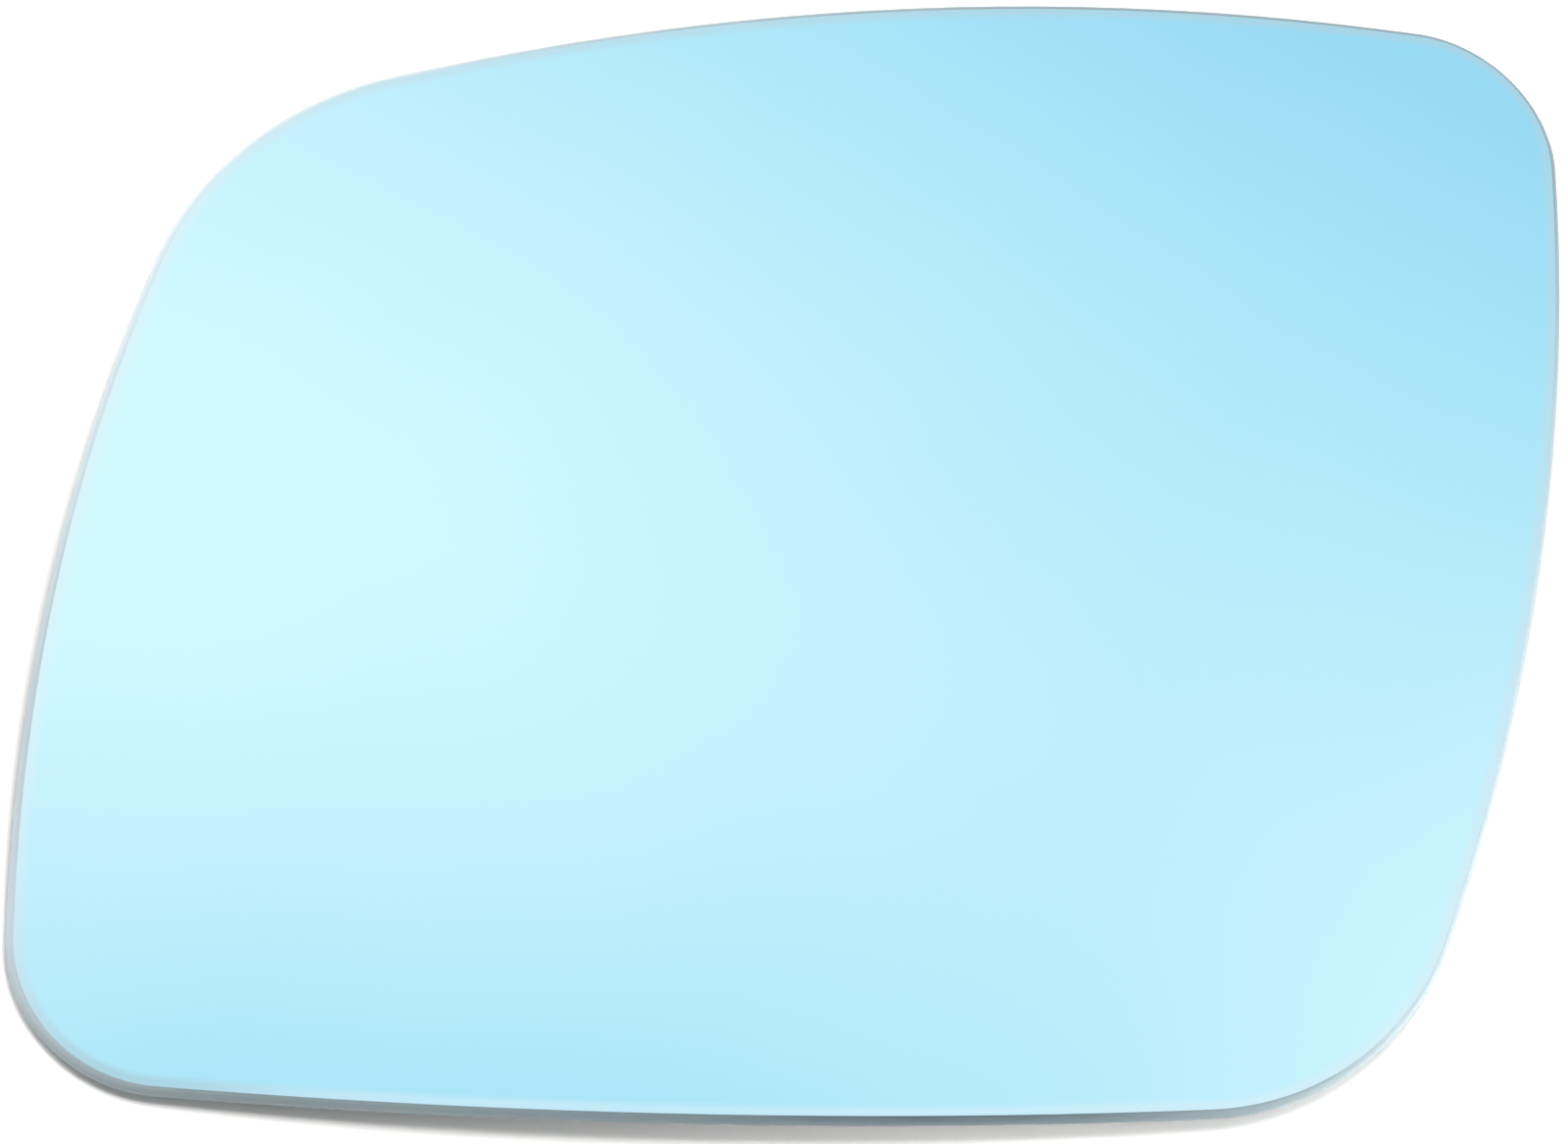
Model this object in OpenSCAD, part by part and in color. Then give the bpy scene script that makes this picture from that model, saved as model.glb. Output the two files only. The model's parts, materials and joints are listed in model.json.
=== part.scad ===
// Car door mirror glass for the left side, seen from its reflecting face.
// It is one pane of glass, bent to a sphere and ground round along its whole edge.
// It lies on a bench with its reflecting face up, as it comes to rest.
// Its lower left corner is the one that points down and away from the car.

/* [Outline] */
// Distance across between the two lower corner points, before they are rounded
bottom_span = 157.5; // [140:0.5:175]
// How far the lower right corner point lies above the lower left one
bottom_rise = 7.5; // [0:0.5:15]
// How far the upper right corner point lies above the lower right one
right_height = 141.5; // [125:0.5:155]
// How far the right side leans outward over that height
right_lean = 26.5; // [10:0.5:40]
// How far the upper left corner point lies above the lower left one
left_height = 120.5; // [105:0.5:135]
// How far the left side leans inward over that height
left_lean = 19.5; // [5:0.5:35]

/* [Curve of the sides] */
// How far the bottom side bulges out past its two corner points
bottom_bow = 4; // [2:0.1:10]
// How far the right side bulges out past its two corner points
right_bow = 8.7; // [4:0.1:13]
// How far the top side bulges out past its two corner points
top_bow = 9.4; // [4:0.1:14]
// How far the left side bulges out past its two corner points
left_bow = 7.8; // [3:0.1:12]

/* [Corners] */
// Radius of the lower left corner
lower_left_r = 18; // [8:0.5:30]
// Radius of the lower right corner
lower_right_r = 36; // [15:0.5:45]
// Radius of the upper right corner
upper_right_r = 17.5; // [8:0.5:30]
// Radius of the upper left corner
upper_left_r = 44; // [20:0.5:55]

/* [Glass] */
// Thickness of the pane
glass_t = 2; // [1.2:0.1:4]
// Radius of the sphere that the reflecting face is bent to
bend_r = 1250; // [600:10:2500]
// How far in from the rim the ground edge starts to round over
edge_depth = 1; // [0.2:0.1:2]
// How far right of the outline's middle the highest point lies, or left if below zero
crown_x = -10.5; // [-30:0.1:30]
// How far above the outline's middle the highest point lies, so that the pane balances
crown_y = 14.2; // [-30:0.1:30]

/* [Smoothness] */
// Steps round each corner
corner_steps = 20; // [6:1:32]
// Steps along each side
side_steps = 12; // [4:1:20]
// Rings from the highest point of the face out to the ground edge
face_rings = 6; // [2:1:8]
// Steps over the ground edge, from the front to the back
edge_steps = 8; // [4:2:12]

/* [Hidden] */
coating_blue = [0.70, 0.91, 0.98];

// Corner points before rounding, in a ring from the lower left and against the clock.
// Side i runs from corner point i to the next one.
lower_left = [0, 0];
lower_right = lower_left + [bottom_span, bottom_rise];
upper_right = lower_right + [right_lean, right_height];
upper_left = lower_left + [left_lean, left_height];
corner_points = [lower_left, lower_right, upper_right, upper_left];
bows = [bottom_bow, right_bow, top_bow, left_bow];
corner_radii = [lower_left_r, lower_right_r, upper_right_r, upper_left_r];
count = len(corner_points);

function next(i) = (i + 1) % count;
function previous(i) = (i + count - 1) % count;
function to_left(v) = [-v.y, v.x] / norm(v);
function heading(v) = atan2(v.y, v.x);
function turn(from, to) = (heading(to) - heading(from) + 360) % 360;

// Each side is an arc through its two corner points, with its bow as the rise over the chord
function chord(i) = corner_points[next(i)] - corner_points[i];
function side_r(i) = (pow(norm(chord(i)) / 2, 2) + pow(bows[i], 2)) / (2 * bows[i]);
function side_centre(i) =
    corner_points[i] + chord(i) / 2 + to_left(chord(i)) * (side_r(i) - bows[i]);

// Each corner is an arc that runs smoothly into the two sides beside it, so its centre lies
// one corner radius short of both side arcs
function corner_centre(i) =
    let (
        span = side_centre(i) - side_centre(previous(i)),
        reach_before = side_r(previous(i)) - corner_radii[i],
        reach_after = side_r(i) - corner_radii[i],
        along = (pow(reach_before, 2) - pow(reach_after, 2) + pow(norm(span), 2)) / (2 * norm(span)),
        across = sqrt(pow(reach_before, 2) - pow(along, 2))
    )
    side_centre(previous(i)) + along * span / norm(span) + across * to_left(span);

// Directions from a side's centre to the centres of its two corners, which point at its ends
function side_start(i) = corner_centre(i) - side_centre(i);
function side_end(i) = corner_centre(next(i)) - side_centre(i);

function arc(centre, r, from, to, steps) = [
    for (k = [0:steps - 1])
        let (a = heading(from) + turn(from, to) * k / steps)
            centre + r * [cos(a), sin(a)]
];

// The whole outline, moved in by a distance that is the same all round
function outline(inset) = [
    for (i = [0:count - 1])
        each concat(
            arc(corner_centre(i), corner_radii[i] - inset,
                side_end(previous(i)), side_start(i), corner_steps),
            arc(side_centre(i), side_r(i) - inset,
                side_start(i), side_end(i), side_steps)
        )
];

// The middle of the outline's box becomes the origin
rim = outline(0);
function low(axis) = min([for (p = rim) p[axis]]);
function high(axis) = max([for (p = rim) p[axis]]);
middle = [low(0) + high(0), low(1) + high(1)] / 2;
crown = middle + [crown_x, crown_y];

// The pane is made of rings: plan outlines lifted onto spheres that share one centre.
// A ring's depth is how far it lies below the reflecting face.
function lift(p, depth) =
    let (out = p - crown)
        [p.x - middle.x, p.y - middle.y, sqrt(pow(bend_r - depth, 2) - out * out)];
function edge_ring(k) =
    let (a = 90 - 180 * k / edge_steps)
        [for (p = outline(edge_depth * (1 - cos(a)))) lift(p, glass_t / 2 * (1 - sin(a)))];
function face_ring(j, depth) =
    [for (p = outline(edge_depth)) lift(crown + (p - crown) * j / face_rings, depth)];
rings = concat(
    [for (j = [1:face_rings - 1]) face_ring(j, 0)],
    [for (k = [0:edge_steps]) edge_ring(k)],
    [for (j = [face_rings - 1:-1:1]) face_ring(j, glass_t)]
);
around = len(rim);

// The lowest point of the rim touches the bench, which is height zero
lifted_points = concat([lift(crown, 0)], [for (ring = rings) each ring], [lift(crown, glass_t)]);
bench = min([for (p = lifted_points) p.z]);
pane_points = [for (p = lifted_points) p - [0, 0, bench]];

// Where point i of ring k stands in the list, after the front crown
function at(k, i) = 1 + k * around + i % around;
last_ring = len(rings) - 1;
back_crown = len(pane_points) - 1;
pane_faces = concat(
    [for (i = [0:around - 1]) [0, at(0, i + 1), at(0, i)]],
    [
        for (k = [0:last_ring - 1], i = [0:around - 1])
            each [
                [at(k, i), at(k, i + 1), at(k + 1, i + 1)],
                [at(k, i), at(k + 1, i + 1), at(k + 1, i)]
            ]
    ],
    [for (i = [0:around - 1]) [at(last_ring, i), at(last_ring, i + 1), back_crown]]
);

module mirror_glass() {
    color(coating_blue)
        polyhedron(pane_points, pane_faces);
}

mirror_glass();
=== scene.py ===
import json
import math

import bmesh
import bpy
from mathutils import Matrix, Vector

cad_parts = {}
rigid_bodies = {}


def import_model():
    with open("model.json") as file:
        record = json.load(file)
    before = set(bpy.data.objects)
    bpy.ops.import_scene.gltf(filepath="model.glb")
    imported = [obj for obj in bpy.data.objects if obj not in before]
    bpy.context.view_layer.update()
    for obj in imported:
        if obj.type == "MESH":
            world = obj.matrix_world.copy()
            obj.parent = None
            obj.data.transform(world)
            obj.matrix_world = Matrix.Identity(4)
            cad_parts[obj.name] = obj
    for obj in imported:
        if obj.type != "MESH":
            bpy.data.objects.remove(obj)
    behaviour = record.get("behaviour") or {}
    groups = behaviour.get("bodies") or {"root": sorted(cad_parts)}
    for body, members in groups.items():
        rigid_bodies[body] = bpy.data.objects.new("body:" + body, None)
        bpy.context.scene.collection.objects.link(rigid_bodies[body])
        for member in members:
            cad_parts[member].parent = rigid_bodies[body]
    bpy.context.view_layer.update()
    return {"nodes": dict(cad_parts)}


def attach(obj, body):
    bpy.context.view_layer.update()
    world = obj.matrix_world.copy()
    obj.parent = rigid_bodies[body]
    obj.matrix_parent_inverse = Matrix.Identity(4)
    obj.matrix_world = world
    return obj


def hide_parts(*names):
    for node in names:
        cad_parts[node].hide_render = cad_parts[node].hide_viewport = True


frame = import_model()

glassNode = frame["nodes"]["mirror_glass"]


def fromScreen(colour):
    # 0-255 screen values become the linear ones that a socket takes
    linear = []
    for part in colour:
        share = part / 255
        linear.append(share / 12.92 if share <= 0.04045 else ((share + 0.055) / 1.055) ** 2.4)
    return (*linear, 1)


def newMaterial(name):
    material = bpy.data.materials.new(name)
    material.use_nodes = True
    return material, material.node_tree, material.node_tree.nodes["Principled BSDF"]


def addNode(tree, kind, **choices):
    node = tree.nodes.new(kind)
    for name, choice in choices.items():
        setattr(node, name, choice)
    return node


def calc(tree, operation, *values):
    # one Math node, values are numbers or sockets
    node = addNode(tree, "ShaderNodeMath", operation=operation)
    for place, value in enumerate(values):
        if isinstance(value, (int, float)):
            node.inputs[place].default_value = value
        else:
            tree.links.new(value, node.inputs[place])
    return node.outputs[0]


def objectPlace(tree):
    return addNode(tree, "ShaderNodeTexCoord").outputs["Object"]


def distanceTo(tree, place, point):
    node = addNode(tree, "ShaderNodeVectorMath", operation="DISTANCE")
    tree.links.new(place, node.inputs[0])
    node.inputs[1].default_value = point
    return node.outputs["Value"]


def noise(tree, place, scale, detail):
    node = addNode(tree, "ShaderNodeTexNoise")
    node.inputs["Scale"].default_value = scale
    node.inputs["Detail"].default_value = detail
    tree.links.new(place, node.inputs["Vector"])
    return node.outputs["Fac"]


def ramp(tree, share, stops):
    # stops are pairs of place and screen colour
    node = addNode(tree, "ShaderNodeValToRGB")
    elements = node.color_ramp.elements
    while len(elements) < len(stops):
        elements.new(0.5)
    for element, (place, colour) in zip(elements, stops):
        element.position = place
        element.color = fromScreen(colour)
    tree.links.new(share, node.inputs["Fac"])
    return node.outputs["Color"]


def addPatches(tree, place, patches, value):
    # soft round patches, each a middle, a radius and the change at its middle
    for middle, radius, change in patches.values():
        away = calc(tree, "DIVIDE", distanceTo(tree, place, middle), radius)
        fade = calc(tree, "EXPONENT", calc(tree, "MULTIPLY", calc(tree, "MULTIPLY", away, away), -1))
        value = calc(tree, "MULTIPLY_ADD", fade, change, value)
    return value


def raysThatSee(tree):
    # 1 where a surface is seen, direct or in metal and glass, 0 where it only lights other things
    rays = addNode(tree, "ShaderNodeLightPath")
    seen = calc(tree, "MAXIMUM", rays.outputs["Is Camera Ray"], rays.outputs["Is Glossy Ray"])
    return calc(tree, "MAXIMUM", seen, rays.outputs["Is Transmission Ray"])


def bump(tree, surface, height, depth):
    node = addNode(tree, "ShaderNodeBump")
    node.inputs["Distance"].default_value = depth
    tree.links.new(height, node.inputs["Height"])
    tree.links.new(node.outputs["Normal"], surface.inputs["Normal"])


# blue reflecting coat on the face; its slopes across and up and its paler and deeper soft patches are
# painted reflection of the surroundings
coating = {
    "stops": ((0, (148, 217, 243)), (0.25, (166, 228, 248)), (0.5, (182, 235, 251)),
              (0.75, (195, 241, 254)), (1, (208, 249, 254))),
    "middleTint": 0.73,          # 0 is the deepest blue, 1 the palest
    "acrossReflection": -4.2,          # change for each metre to the right, painted reflection
    "upReflection": -5.5,              # change for each metre up, painted reflection
    "patches": {                 # painted reflection: middle in metres, radius, change at its middle
        "paintedLightLeft": ((-0.048, -0.036, 0), 0.074, 0.72),
        "deepReflectionTop": ((-0.012, 0.120, 0), 0.075, -0.18),
        "paintedLightLowerRight": ((0.140, -0.079, 0), 0.067, 1.34),
        "deepReflectionLowerLeft": ((-0.063, -0.120, 0), 0.105, -2.0),
    },
    "cloudScale": 26,            # faint clouds all over
    "cloudDetail": 2,
    "cloudTint": 0.10,
    # a painted highlight along the rim where the face meets the ground edge
    "rimHighlightStops": ((0, (225, 240, 248)), (0.5, (186, 203, 210)), (1, (140, 158, 166))),
    "rimHighlightShare": 0.42,            # how far the coating turns to the painted rim highlight beside the ground edge
    "rimHighlightMiddle": 0.25,           # 0 is the palest painted highlight, 1 the greyest
    "rimHighlightUp": 3.3,                # change for each metre up, the painted highlight greying upwards
    "rimHighlightPatches": {
        "dimHighlightLowerLeft": ((-0.078, -0.072, 0), 0.016, 0.75),
        "paintedLightLeft": ((-0.084, 0.012, 0), 0.045, -0.45),
    },
    "roughness": 0.04,
    "glassShine": 0.5,
    "glassRoughness": 0.02,
}


def makeCoating():
    material, tree, surface = newMaterial("blueCoating")
    place = objectPlace(tree)
    # the height is left out for the patches, so the bend doesn't move them
    flat = addNode(tree, "ShaderNodeVectorMath", operation="MULTIPLY")
    flat.inputs[1].default_value = (1, 1, 0)
    tree.links.new(place, flat.inputs[0])
    parts = addNode(tree, "ShaderNodeSeparateXYZ")
    tree.links.new(place, parts.inputs[0])
    # the slopes and patches paint the reflection of the surroundings into the colour; the clouds are
    # the coating's own
    tint = calc(tree, "MULTIPLY_ADD", parts.outputs["X"], coating["acrossReflection"], coating["middleTint"])
    tint = calc(tree, "MULTIPLY_ADD", parts.outputs["Y"], coating["upReflection"], tint)
    tint = addPatches(tree, flat.outputs[0], coating["patches"], tint)
    clouds = noise(tree, place, coating["cloudScale"], coating["cloudDetail"])
    tint = calc(tree, "MULTIPLY_ADD", calc(tree, "SUBTRACT", clouds, 0.5), coating["cloudTint"], tint)
    # painted highlight on the narrow ring beside the ground edge
    rim = addNode(tree, "ShaderNodeAttribute", attribute_name="nearRim")
    rimHighlightShare = calc(tree, "MULTIPLY", rim.outputs["Fac"], coating["rimHighlightShare"])
    rimHighlightTone = calc(tree, "MULTIPLY_ADD", parts.outputs["Y"], coating["rimHighlightUp"], coating["rimHighlightMiddle"])
    rimHighlightTone = addPatches(tree, flat.outputs[0], coating["rimHighlightPatches"], rimHighlightTone)
    colour = addNode(tree, "ShaderNodeMix", data_type="RGBA")
    tree.links.new(rimHighlightShare, colour.inputs["Factor"])
    tree.links.new(ramp(tree, tint, coating["stops"]), colour.inputs["A"])
    tree.links.new(ramp(tree, rimHighlightTone, coating["rimHighlightStops"]), colour.inputs["B"])
    tree.links.new(colour.outputs["Result"], surface.inputs["Base Color"])
    surface.inputs["Metallic"].default_value = 1
    surface.inputs["Roughness"].default_value = coating["roughness"]
    surface.inputs["Coat Weight"].default_value = coating["glassShine"]
    surface.inputs["Coat Roughness"].default_value = coating["glassRoughness"]
    return material


# ground edge: frosted grey glass, darker beside the face; its paler and darker patches along it are
# painted light and shade
groundEdge = {
    "stops": ((0, (60, 77, 84)), (0.5, (141, 158, 164)), (1, (221, 238, 244))),
    "middleShade": 0.68,         # 0 is the darkest grey, 1 the palest
    "frontShade": -0.28,         # change where the grinding meets the face
    "frontReach": 6,             # higher keeps that change closer to the face
    "paintedBackShade": -0.07,          # change at the back, painted shade on the underside
    # painted light and shade: middle in metres, radius, change at its middle
    "patches": {
        "paintedLightRight": ((0.090, -0.005, 0), 0.055, 0.36),
        "paintedLightLowerRight": ((0.067, -0.058, 0), 0.026, 0.20),
        "paintedShadeBottom": ((0.018, -0.075, 0), 0.048, -0.43),
        "paintedLightUpperLeft": ((-0.074, 0.034, 0), 0.055, 0.36),
        "paintedLightLeft": ((-0.092, -0.016, 0), 0.034, 0.11),
        "paintedLightLowerLeft": ((-0.092, -0.062, 0), 0.026, 0.29),
        "paintedShadeLowerLeft": ((-0.072, -0.076, 0), 0.016, -0.09),
        "paintedShadeUpperRight": ((0.060, 0.075, 0), 0.045, -0.15),
    },
    "streakAlong": 120,          # grinding lines run along the edge
    "streakDown": 9000,
    "streakDetail": 3,
    "streakTint": 0.15,
    "grainDepth": 0.00001,
    "roughness": 0.42,
}


def makeGroundEdge(sphereCentre):
    material, tree, surface = newMaterial("groundEdge")
    place = objectPlace(tree)
    down = calc(tree, "SUBTRACT", pane["bendRadius"], distanceTo(tree, place, sphereCentre))
    parts = addNode(tree, "ShaderNodeSeparateXYZ")
    tree.links.new(place, parts.inputs[0])
    grain = addNode(tree, "ShaderNodeCombineXYZ")
    for axis in "XY":
        along = calc(tree, "MULTIPLY", parts.outputs[axis], groundEdge["streakAlong"])
        tree.links.new(along, grain.inputs[axis])
    tree.links.new(calc(tree, "MULTIPLY", down, groundEdge["streakDown"]), grain.inputs["Z"])
    streaks = noise(tree, grain.outputs[0], 1, groundEdge["streakDetail"])
    share = calc(tree, "DIVIDE", down, pane["thickness"])
    front = calc(tree, "EXPONENT", calc(tree, "MULTIPLY", share, -groundEdge["frontReach"]))
    shade = calc(tree, "MULTIPLY_ADD", front, groundEdge["frontShade"], groundEdge["middleShade"])
    shade = calc(tree, "MULTIPLY_ADD", share, groundEdge["paintedBackShade"], shade)
    # patches of painted light and shade along the edge
    shade = addPatches(tree, place, groundEdge["patches"], shade)
    streakShare = calc(tree, "SUBTRACT", streaks, 0.5)
    shade = calc(tree, "MULTIPLY_ADD", streakShare, groundEdge["streakTint"], shade)
    tree.links.new(ramp(tree, shade, groundEdge["stops"]), surface.inputs["Base Color"])
    surface.inputs["Roughness"].default_value = groundEdge["roughness"]
    bump(tree, surface, streaks, groundEdge["grainDepth"])
    return material


# matt protective paint behind the glass
backPaint = {
    "stops": ((0.3, (74, 77, 81)), (0.7, (80, 83, 87))),
    "patchScale": 60,
    "patchDetail": 4,
    "peelScale": 700,            # fine orange peel, as sprayed paint has
    "peelDetail": 1,
    "peelDepth": 0.00002,
    "roughness": 0.5,
}


def makeBackPaint():
    material, tree, surface = newMaterial("backPaint")
    place = objectPlace(tree)
    patches = noise(tree, place, backPaint["patchScale"], backPaint["patchDetail"])
    tree.links.new(ramp(tree, patches, backPaint["stops"]), surface.inputs["Base Color"])
    surface.inputs["Roughness"].default_value = backPaint["roughness"]
    peel = noise(tree, place, backPaint["peelScale"], backPaint["peelDetail"])
    bump(tree, surface, peel, backPaint["peelDepth"])
    return material


# the pane itself
pane = {
    "bendRadius": 1.25,          # of the reflecting face, in metres
    "thickness": 0.002,
    "weldDistance": 0.000002,    # merges the loose triangles of the copy
    "faceTilt": 5,               # degrees that a face may lean off the sphere
    "backTilt": 181,             # one that looks straight back can measure a hair over 180
    "rings": (0.0004, 0.0008),   # widths: one keeps the ground edge crisp, one carries the painted rim highlight
    "gridSpan": 32,              # quads along the grid's first side
    "gridCorner": (-0.69, -0.72),   # direction of the corner where the grid starts
    "coatedTilt": 12,            # how far over the edge the coating reaches
    "paintedTilt": 168,          # and from where the paint does
    "smoothLevels": 1,
    "snapDistance": 0.000006,    # what this near to a sphere is put on it
}


def selectFaces(obj, wanted):
    bpy.ops.object.mode_set(mode="EDIT")
    bpy.ops.mesh.select_mode(type="FACE")
    bpy.ops.mesh.select_all(action="DESELECT")
    bpy.ops.object.mode_set(mode="OBJECT")
    for face in obj.data.polygons:
        face.select = wanted(face)
    bpy.ops.object.mode_set(mode="EDIT")


def bendToSphere(verts, sphereCentre, radius):
    for vert in verts:
        across = (vert.co - sphereCentre).xy.length
        vert.co.z = sphereCentre.z + math.sqrt(radius ** 2 - across ** 2)


def fillHole(obj, sphereCentre, radius):
    # fills the open ring with a grid of quads, its corners at the pane's own corners
    bpy.ops.mesh.select_mode(type="VERT")
    bpy.ops.mesh.select_all(action="DESELECT")
    bpy.ops.mesh.select_non_manifold(use_wire=False, use_multi_face=False,
                                     use_non_contiguous=False, use_verts=False)
    shape = bmesh.from_edit_mesh(obj.data)
    ringVerts = [vert for vert in shape.verts if vert.select]
    first = max(ringVerts, key=lambda vert: vert.co.xy.dot(Vector(pane["gridCorner"])))
    shape.select_history.clear()
    shape.select_history.add(first)
    bpy.ops.mesh.fill_grid(span=pane["gridSpan"])
    bpy.ops.object.mode_set(mode="OBJECT")
    bendToSphere([vert for vert in obj.data.vertices if vert.select], sphereCentre, radius)


def makePane():
    obj = bpy.data.objects.new("mirrorPane", glassNode.data.copy())
    obj.data.name = "mirrorPane"
    bpy.context.scene.collection.objects.link(obj)
    bpy.ops.object.select_all(action="DESELECT")
    obj.select_set(True)
    bpy.context.view_layer.objects.active = obj
    bpy.ops.object.mode_set(mode="EDIT")
    bpy.ops.mesh.select_all(action="SELECT")
    bpy.ops.mesh.remove_doubles(threshold=pane["weldDistance"])
    bpy.ops.mesh.tris_convert_to_quads()
    bpy.ops.object.mode_set(mode="OBJECT")
    crown = max((vert.co for vert in obj.data.vertices), key=lambda co: co.z)
    sphereCentre = crown - Vector((0, 0, pane["bendRadius"]))

    def tilt(face):
        return math.degrees(face.normal.angle(face.center - sphereCentre))

    # front, then back: two rings inwards, and a grid of quads in place of what is left
    frontRadius = pane["bendRadius"]
    backRadius = frontRadius - pane["thickness"]
    for low, high, radius in ((0, pane["faceTilt"], frontRadius),
                              (180 - pane["faceTilt"], pane["backTilt"], backRadius)):
        selectFaces(obj, lambda face: low <= tilt(face) < high)
        for width in pane["rings"]:
            bpy.ops.mesh.inset(thickness=width)
        bpy.ops.mesh.delete(type="FACE")
        fillHole(obj, sphereCentre, radius)
    print("faces rebuilt as grids,", len(obj.data.polygons), "faces")

    bpy.ops.object.mode_set(mode="EDIT")
    bpy.ops.mesh.select_all(action="SELECT")
    bpy.ops.mesh.normals_make_consistent(inside=False)
    selectFaces(obj, lambda face: pane["faceTilt"] < tilt(face) < 180 - pane["faceTilt"])
    bpy.ops.mesh.select_more()   # takes in the narrow ring beside the ground edge
    bpy.ops.object.mode_set(mode="OBJECT")
    nearRim = obj.data.attributes.new("nearRim", "FLOAT", "POINT")
    for vert in obj.data.vertices:
        nearRim.data[vert.index].value = float(vert.select)
    obj.data.materials.clear()
    for material in (makeCoating(), makeGroundEdge(sphereCentre), makeBackPaint()):
        obj.data.materials.append(material)
    bpy.ops.object.modifier_add(type="SUBSURF")
    obj.modifiers["Subdivision"].levels = pane["smoothLevels"]
    obj.modifiers["Subdivision"].render_levels = pane["smoothLevels"]
    bpy.ops.object.modifier_apply(modifier="Subdivision")
    for radius in (frontRadius, backRadius):
        onSphere = [vert for vert in obj.data.vertices
                    if abs((vert.co - sphereCentre).length - radius) < pane["snapDistance"]]
        bendToSphere(onSphere, sphereCentre, radius)

    # coating, ground edge and paint, told apart by how far a face leans off the sphere
    zones = ((0, 0, pane["coatedTilt"]),
             (1, pane["coatedTilt"], pane["paintedTilt"]),
             (2, pane["paintedTilt"], pane["backTilt"]))
    for slotNumber, low, high in zones:
        selectFaces(obj, lambda face: low <= tilt(face) < high)
        obj.active_material_index = slotNumber
        bpy.ops.object.material_slot_assign()
        bpy.ops.object.mode_set(mode="OBJECT")
    bpy.ops.object.shade_smooth()
    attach(obj, "root")
    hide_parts("mirror_glass")
    print("pane finished,", len(obj.data.polygons), "faces")


studio = {
    "floorSize": 6,
    "floorSeen": (1.12, 1.11, 1.08, 1),   # as the camera sees it
    "floorLit": (0.85, 0.85, 0.85, 1),    # as it lights the pane
    "whiteStart": 0.14,          # metres from the middle of the pane
    "whiteEnd": 0.26,
    "ambient": 0.14,             # strength of the white world as a light
    "lamps": {                   # power in watts, size, spread, place and the point aimed at
        "backLamp": (8.8, 0.45, 180, (0.04, 0.36, 0.96), (0, 0, 0)),
        "leftLamp": (3.2, 0.5, 180, (-0.64, 0.48, 0.60), (0, 0, 0)),
        "rightLamp": (2.0, 0.5, 180, (0.85, 0.12, 0.45), (0, 0, 0)),
        "fillLamp": (0.036, 0.12, 34, (0.16, -0.23, 0.12), (0.04, -0.072, 0)),
    },
}


def makeFloor():
    bpy.ops.object.select_all(action="DESELECT")
    bpy.ops.mesh.primitive_plane_add(size=studio["floorSize"])
    floor = bpy.context.object
    floor.name = "studioFloor"
    material, tree, surface = newMaterial("floorPaper")
    tree.nodes.remove(surface)
    paper = addNode(tree, "ShaderNodeBsdfDiffuse")
    seen = raysThatSee(tree)
    colour = addNode(tree, "ShaderNodeMix", data_type="RGBA")
    colour.inputs["A"].default_value = studio["floorLit"]
    colour.inputs["B"].default_value = studio["floorSeen"]
    tree.links.new(seen, colour.inputs["Factor"])
    tree.links.new(colour.outputs["Result"], paper.inputs["Color"])
    # past the shadow the paper is seen as plain white, however far off it lies
    away = addNode(tree, "ShaderNodeMapRange", interpolation_type="SMOOTHSTEP")
    away.inputs["From Min"].default_value = studio["whiteStart"]
    away.inputs["From Max"].default_value = studio["whiteEnd"]
    tree.links.new(distanceTo(tree, objectPlace(tree), (0, 0, 0)), away.inputs["Value"])
    white = addNode(tree, "ShaderNodeEmission")
    material.cycles.emission_sampling = "NONE"
    both = addNode(tree, "ShaderNodeMixShader")
    tree.links.new(calc(tree, "MULTIPLY", seen, away.outputs["Result"]), both.inputs["Fac"])
    tree.links.new(paper.outputs["BSDF"], both.inputs[1])
    tree.links.new(white.outputs["Emission"], both.inputs[2])
    tree.links.new(both.outputs["Shader"], tree.nodes["Material Output"].inputs["Surface"])
    floor.data.materials.append(material)


def makeLights():
    world = bpy.data.worlds.new("studioWorld")
    bpy.context.scene.world = world
    world.use_nodes = True
    tree = world.node_tree
    background = tree.nodes["Background"]
    strength = calc(tree, "MULTIPLY_ADD", raysThatSee(tree), 1 - studio["ambient"], studio["ambient"])
    background.inputs["Color"].default_value = (1, 1, 1, 1)
    tree.links.new(strength, background.inputs["Strength"])
    for name, (power, size, spread, place, aim) in studio["lamps"].items():
        light = bpy.data.lights.new(name, "AREA")
        light.energy = power
        light.size = size
        light.spread = math.radians(spread)
        lamp = bpy.data.objects.new(name, light)
        bpy.context.scene.collection.objects.link(lamp)
        lamp.location = place
        lamp.rotation_euler = (Vector(aim) - lamp.location).to_track_quat("-Z", "Y").to_euler()
        lamp.visible_glossy = False
        lamp.visible_camera = False


view = {
    "target": (-0.00503, -0.00625, 0.004),
    "distance": 0.75,            # metres from the target
    "tilt": 26.85,               # degrees off straight down
    "side": 22.87,               # degrees round to the pane's left
    "lens": 147.93,              # millimetres
}


def makeCamera():
    tilt = math.radians(view["tilt"])
    side = math.radians(view["side"])
    back = Vector((-math.sin(tilt) * math.sin(side), -math.sin(tilt) * math.cos(side), math.cos(tilt)))
    up = Vector((0, 1, 0))
    up = (up - back * up.dot(back)).normalized()
    camera = bpy.data.objects.new("photoCamera", bpy.data.cameras.new("photoCamera"))
    bpy.context.scene.collection.objects.link(camera)
    camera.data.lens = view["lens"]
    turned = Matrix((up.cross(back), up, back)).transposed().to_4x4()
    camera.matrix_world = Matrix.Translation(Vector(view["target"]) + back * view["distance"]) @ turned
    bpy.context.scene.camera = camera


makePane()
makeFloor()
makeLights()
makeCamera()
bpy.context.scene.view_settings.view_transform = "Standard"
print("studio ready")
